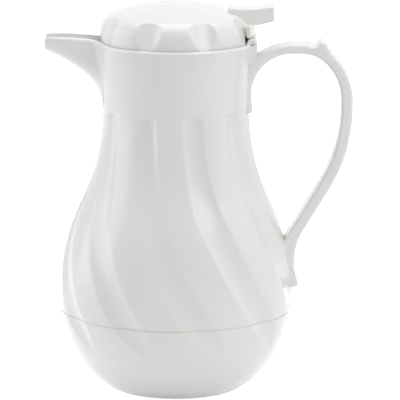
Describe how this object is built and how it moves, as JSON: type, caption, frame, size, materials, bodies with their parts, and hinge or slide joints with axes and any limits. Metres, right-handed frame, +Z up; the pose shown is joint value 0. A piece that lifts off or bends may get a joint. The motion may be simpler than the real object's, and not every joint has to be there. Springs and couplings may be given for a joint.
{
  "type": "insulated serving jug",
  "caption": "Insulated jug with a swirl-fluted body, an open pouring spout, a flip lid worked by a thumb lever and a strap handle.",
  "frame": {"origin": "centre of the standing ring, on the standing plane", "axes": "+Z up along the body's axis, -X towards the spout, +X towards the handle"},
  "size_m": [0.2108, 0.1602, 0.2683],
  "materials": {
    "shell_plastic": "glossy white moulded plastic",
    "liner_plastic": "satin white food-safe plastic",
    "seal_rubber": "matt pale silicone rubber",
    "foam": "pale yellow rigid foam",
    "steel": "plain stainless steel"
  },
  "bodies": {
    "jug": {"upper_shell": "shell_plastic", "base_shell": "shell_plastic", "fill_plug": "shell_plastic", "liner": "liner_plastic", "liner_seal": "seal_rubber", "liner_pad": "seal_rubber", "foam_jacket": "foam", "handle": "shell_plastic", "handle_screws": "steel", "screw_washers": "steel", "hinge_pin": "steel"},
    "lid": {"lid_dome": "shell_plastic", "lid_plug": "liner_plastic", "lid_gasket": "seal_rubber", "lid_foam": "foam", "thumb_lever": "shell_plastic", "lever_screws": "steel"}
  },
  "joints": [
    {"name": "lid_hinge", "type": "hinge", "parent": "jug", "child": "lid", "pos_m": [0.052, 0, 0.2426], "axis": [0, 1, 0], "range_deg": [0, 50]}
  ]
}
